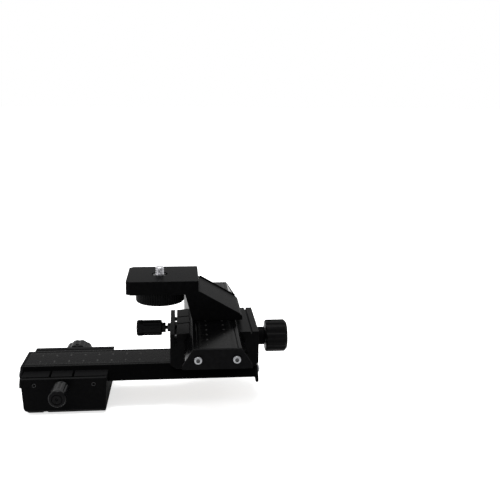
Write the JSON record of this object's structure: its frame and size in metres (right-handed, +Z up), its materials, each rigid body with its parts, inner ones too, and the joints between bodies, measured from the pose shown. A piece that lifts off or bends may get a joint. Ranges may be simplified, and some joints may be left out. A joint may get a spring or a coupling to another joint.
{
  "type": "two-way macro focusing rail",
  "caption": "Two-way macro focusing rail: stacked dovetail rails on rack-and-pinion carriages with clamp shoes and an offset platform for a camera.",
  "frame": {"origin": "mouth of the threaded tripod socket, in the middle of the tripod block's underside", "axes": "+X along the long rail towards the cross slide, +Y away from the viewer along the cross rail, +Z up"},
  "size_m": [0.1907, 0.1698, 0.0932],
  "materials": {
    "black_anodised": "satin black anodised",
    "plate_black": "satin black anodised, end grain milled",
    "knob_black": "satin black anodised, fluted",
    "lock_knob_metal": "dark grey anodised, turned",
    "wheel_black": "satin black anodised, ribbed rim",
    "screw_steel": "bright zinc plated",
    "grub_steel": "black oxide",
    "bush_steel": "turned",
    "stainless": "turned, threaded",
    "brass": "cut teeth",
    "nylon": "matt"
  },
  "bodies": {
    "tripod_carriage": {"tripod_block": "black_anodised", "tripod_play_screws": "grub_steel", "tripod_lock_bush": "bush_steel", "tripod_pinion_bush": "black_anodised", "tripod_bushing": "stainless"},
    "long_stage": {"long_rail": "black_anodised", "long_rack": "brass", "long_rack_screws": "screw_steel", "long_plate_left": "plate_black", "long_plate_right": "plate_black", "long_plate_screws": "screw_steel", "cross_block": "black_anodised", "cross_block_screws": "screw_steel", "cross_play_screws": "grub_steel", "cross_lock_bush": "bush_steel", "cross_pinion_bush": "black_anodised"},
    "cross_stage": {"cross_rail": "black_anodised", "cross_rack": "brass", "cross_rack_screws": "screw_steel", "cross_plate_near": "plate_black", "cross_plate_far": "plate_black", "cross_plate_screws": "screw_steel", "camera_bracket": "black_anodised", "bracket_screws": "screw_steel"},
    "tripod_drive": {"tripod_pinion": "brass", "tripod_focus_knob": "knob_black", "tripod_knob_screw": "grub_steel"},
    "cross_drive": {"cross_pinion": "brass", "cross_focus_knob": "knob_black", "cross_knob_screw": "grub_steel"},
    "tripod_clamp": {"tripod_shoe": "black_anodised"},
    "cross_clamp": {"cross_shoe": "black_anodised"},
    "tripod_lock": {"tripod_lock_knob": "lock_knob_metal", "tripod_lock_screw": "stainless"},
    "cross_lock": {"cross_lock_knob": "lock_knob_metal", "cross_lock_screw": "stainless"},
    "camera_turn": {"camera_wheel": "wheel_black", "camera_screw": "stainless", "camera_washer": "nylon", "camera_clip": "grub_steel"}
  },
  "joints": [
    {"name": "long_slide", "type": "slide", "parent": "tripod_carriage", "child": "long_stage", "axis": [1, 0, 0], "range_m": [-0.1032, 0.0006]},
    {"name": "cross_slide", "type": "slide", "parent": "long_stage", "child": "cross_stage", "axis": [0, 1, 0], "range_m": [-0.0642, 0.0396]},
    {"name": "tripod_focus", "type": "hinge", "parent": "tripod_carriage", "child": "tripod_drive", "pos_m": [0, 0, 0.0137], "axis": [0, 1, 0], "range_deg": [-1412, 13]},
    {"name": "cross_focus", "type": "hinge", "parent": "long_stage", "child": "cross_drive", "pos_m": [0.103, 0, 0.0431], "axis": [1, 0, 0], "range_deg": [-545, 880]},
    {"name": "tripod_grip", "type": "slide", "parent": "tripod_carriage", "child": "tripod_clamp", "axis": [0, 1, 0], "range_m": [-0.0007, 0]},
    {"name": "cross_grip", "type": "slide", "parent": "long_stage", "child": "cross_clamp", "axis": [1, 0, 0], "range_m": [-0.0007, 0]},
    {"name": "tripod_lock_turn", "type": "hinge", "parent": "tripod_clamp", "child": "tripod_lock", "pos_m": [-0.0008, -0.03, 0.0213], "axis": [0, 1, 0], "range_deg": [-361, 0]},
    {"name": "cross_lock_turn", "type": "hinge", "parent": "cross_clamp", "child": "cross_lock", "pos_m": [0.073, 0.0008, 0.0507], "axis": [1, 0, 0], "range_deg": [-361, 0]},
    {"name": "camera_screw_turn", "type": "hinge", "parent": "cross_stage", "child": "camera_turn", "pos_m": [0.065, 0.0123, 0.078], "axis": [0, 0, 1], "continuous": true}
  ],
  "couplings": [
    {"joint": "tripod_focus", "follows": "long_slide", "rad_per_m": 238.1},
    {"joint": "cross_focus", "follows": "cross_slide", "rad_per_m": -238.1},
    {"joint": "tripod_lock_turn", "follows": "tripod_grip", "rad_per_m": 8976},
    {"joint": "cross_lock_turn", "follows": "cross_grip", "rad_per_m": 8976}
  ]
}
